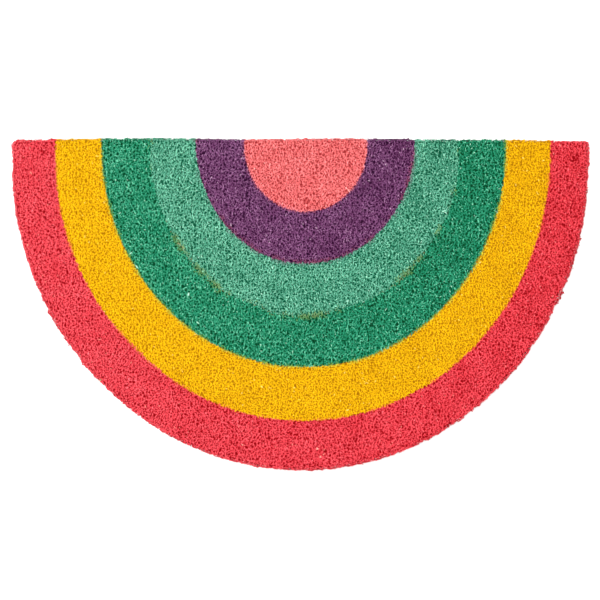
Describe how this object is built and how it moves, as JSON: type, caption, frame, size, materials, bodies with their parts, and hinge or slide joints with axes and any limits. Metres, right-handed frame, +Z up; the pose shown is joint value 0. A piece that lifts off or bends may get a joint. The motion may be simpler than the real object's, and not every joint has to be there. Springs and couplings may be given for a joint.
{
  "type": "half-round rainbow coir doormat",
  "caption": "Half-round flat coir doormat with a cut pile, printed in concentric rainbow arches, lying flat on the floor.",
  "frame": {"origin": "middle of the mat's footprint box, on the underside, where it rests on the floor", "axes": "+X along the straight edge, +Y from the round edge towards the straight edge, +Z up through the pile"},
  "size_m": [0.702, 0.4038, 0.015],
  "materials": {
    "coir_red": "dull dyed coir fibre, coral red",
    "coir_yellow": "dull dyed coir fibre, golden yellow",
    "coir_green": "dull dyed coir fibre, emerald green",
    "coir_teal": "dull dyed coir fibre, pale sea green",
    "coir_purple": "dull dyed coir fibre, plum purple",
    "coir_pink": "dull dyed coir fibre, coral pink",
    "coir_natural": "undyed brown coir fibre",
    "backing": "matt flexible vinyl, plain"
  },
  "bodies": {
    "root": {"mat": "coir_red"}
  },
  "joints": []
}
